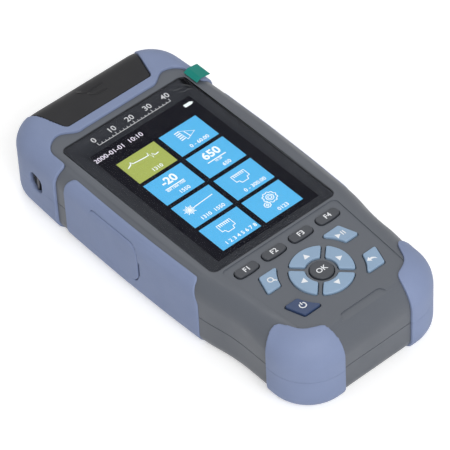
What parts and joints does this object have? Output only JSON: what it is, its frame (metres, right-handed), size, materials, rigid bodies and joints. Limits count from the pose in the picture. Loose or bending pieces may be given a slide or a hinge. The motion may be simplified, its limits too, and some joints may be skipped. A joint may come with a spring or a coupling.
{
  "type": "handheld optical time domain reflectometer",
  "caption": "Hand-held fibre tester with a tall colour screen, function keys, cursor ring, rubber bumpers and grips, and a hinged dust cover over its fibre connectors.",
  "frame": {"origin": "middle of the footprint, on the plane the tester lies on", "axes": "+X across the case to the right when reading the screen, +Y towards the connector end, +Z out of the screen"},
  "size_m": [0.0794, 0.1694, 0.0342],
  "materials": {
    "case_plastic": "fine textured blue-grey moulded plastic",
    "bumper_rubber": "matt grey-blue soft overmoulding",
    "cover_plastic": "dark grey moulded plastic, slightly glossy",
    "light_key": "light blue-grey silicone",
    "dark_key": "dark grey silicone",
    "navy_key": "navy blue silicone",
    "clear_glass": "dark tinted cover glass",
    "clear_film": "clear protective film",
    "green_film": "translucent green film",
    "display": "lit colour display",
    "board": "green circuit board",
    "steel": "plain steel",
    "nickel": "nickel plated",
    "battery_wrap": "shrink wrap",
    "black_plastic": "black moulded plastic",
    "fibre": "yellow jacketed fibre",
    "mat_rubber": "silicone sheet"
  },
  "bodies": {
    "case": {"front_housing": "case_plastic", "rear_housing": "case_plastic", "top_bumper_front": "bumper_rubber", "top_bumper_rear": "bumper_rubber", "left_bumper_front": "bumper_rubber", "left_bumper_rear": "bumper_rubber", "right_bumper_front": "bumper_rubber", "right_bumper_rear": "bumper_rubber", "left_grip": "bumper_rubber", "right_grip": "bumper_rubber", "strap_bar": "steel", "dust_cover_pin": "steel", "stand_pin": "steel", "screen_glass": "clear_glass", "screen_film": "clear_film", "film_tab": "green_film", "display_module": "display", "keypad_mat": "mat_rubber", "key_board": "board", "main_board": "board", "case_screws": "steel", "board_screws": "steel", "battery_pack": "battery_wrap", "optical_module": "black_plastic", "fibre_spool": "black_plastic", "fibre_coil": "fibre", "meter_detector": "nickel", "locator_laser": "nickel", "buzzer": "black_plastic", "port_panel": "black_plastic", "otdr_adapter": "nickel", "meter_adapter": "nickel", "locator_adapter": "nickel", "network_jack": "black_plastic", "charge_socket": "steel"},
    "f1_key_body": {"f1_key": "dark_key"},
    "f2_key_body": {"f2_key": "dark_key"},
    "f3_key_body": {"f3_key": "dark_key"},
    "f4_key_body": {"f4_key": "dark_key"},
    "enter_key_body": {"enter_key": "dark_key"},
    "up_key_body": {"up_key": "light_key"},
    "down_key_body": {"down_key": "light_key"},
    "left_key_body": {"left_key": "light_key"},
    "right_key_body": {"right_key": "light_key"},
    "zoom_key_body": {"zoom_key": "light_key"},
    "run_key_body": {"run_key": "light_key"},
    "back_key_body": {"back_key": "light_key"},
    "power_key_body": {"power_key": "navy_key"},
    "cover_body": {"dust_cover": "cover_plastic"},
    "flap_body": {"side_flap": "bumper_rubber"},
    "stand_body": {"tilt_stand": "case_plastic"}
  },
  "joints": [
    {"name": "f1_press", "type": "slide", "parent": "case", "child": "f1_key_body", "axis": [0, 0, -1], "range_m": [0, 0.0006], "stiffness_N_per_m": 2500},
    {"name": "f2_press", "type": "slide", "parent": "case", "child": "f2_key_body", "axis": [0, 0, -1], "range_m": [0, 0.0006], "stiffness_N_per_m": 2500},
    {"name": "f3_press", "type": "slide", "parent": "case", "child": "f3_key_body", "axis": [0, 0, -1], "range_m": [0, 0.0006], "stiffness_N_per_m": 2500},
    {"name": "f4_press", "type": "slide", "parent": "case", "child": "f4_key_body", "axis": [0, 0, -1], "range_m": [0, 0.0006], "stiffness_N_per_m": 2500},
    {"name": "enter_press", "type": "slide", "parent": "case", "child": "enter_key_body", "axis": [0, 0, -1], "range_m": [0, 0.0006], "stiffness_N_per_m": 2500},
    {"name": "up_press", "type": "slide", "parent": "case", "child": "up_key_body", "axis": [0, 0, -1], "range_m": [0, 0.0006], "stiffness_N_per_m": 2500},
    {"name": "down_press", "type": "slide", "parent": "case", "child": "down_key_body", "axis": [0, 0, -1], "range_m": [0, 0.0006], "stiffness_N_per_m": 2500},
    {"name": "left_press", "type": "slide", "parent": "case", "child": "left_key_body", "axis": [0, 0, -1], "range_m": [0, 0.0006], "stiffness_N_per_m": 2500},
    {"name": "right_press", "type": "slide", "parent": "case", "child": "right_key_body", "axis": [0, 0, -1], "range_m": [0, 0.0006], "stiffness_N_per_m": 2500},
    {"name": "zoom_press", "type": "slide", "parent": "case", "child": "zoom_key_body", "axis": [0, 0, -1], "range_m": [0, 0.0006], "stiffness_N_per_m": 2500},
    {"name": "run_press", "type": "slide", "parent": "case", "child": "run_key_body", "axis": [0, 0, -1], "range_m": [0, 0.0006], "stiffness_N_per_m": 2500},
    {"name": "back_press", "type": "slide", "parent": "case", "child": "back_key_body", "axis": [0, 0, -1], "range_m": [0, 0.0006], "stiffness_N_per_m": 2500},
    {"name": "power_press", "type": "slide", "parent": "case", "child": "power_key_body", "axis": [0, 0, -1], "range_m": [0, 0.0006], "stiffness_N_per_m": 2500},
    {"name": "cover_open", "type": "hinge", "parent": "case", "child": "cover_body", "pos_m": [0, 0.08205, 0.0052], "axis": [-1, 0, 0], "range_deg": [0, 135]},
    {"name": "flap_open", "type": "hinge", "parent": "case", "child": "flap_body", "pos_m": [-0.03957, 0.031, 0.0184], "axis": [0, 0, -1], "range_deg": [0, 100]},
    {"name": "stand_open", "type": "hinge", "parent": "case", "child": "stand_body", "pos_m": [0, 0.046, 0.0024], "axis": [1, 0, 0], "range_deg": [0, 70]}
  ]
}
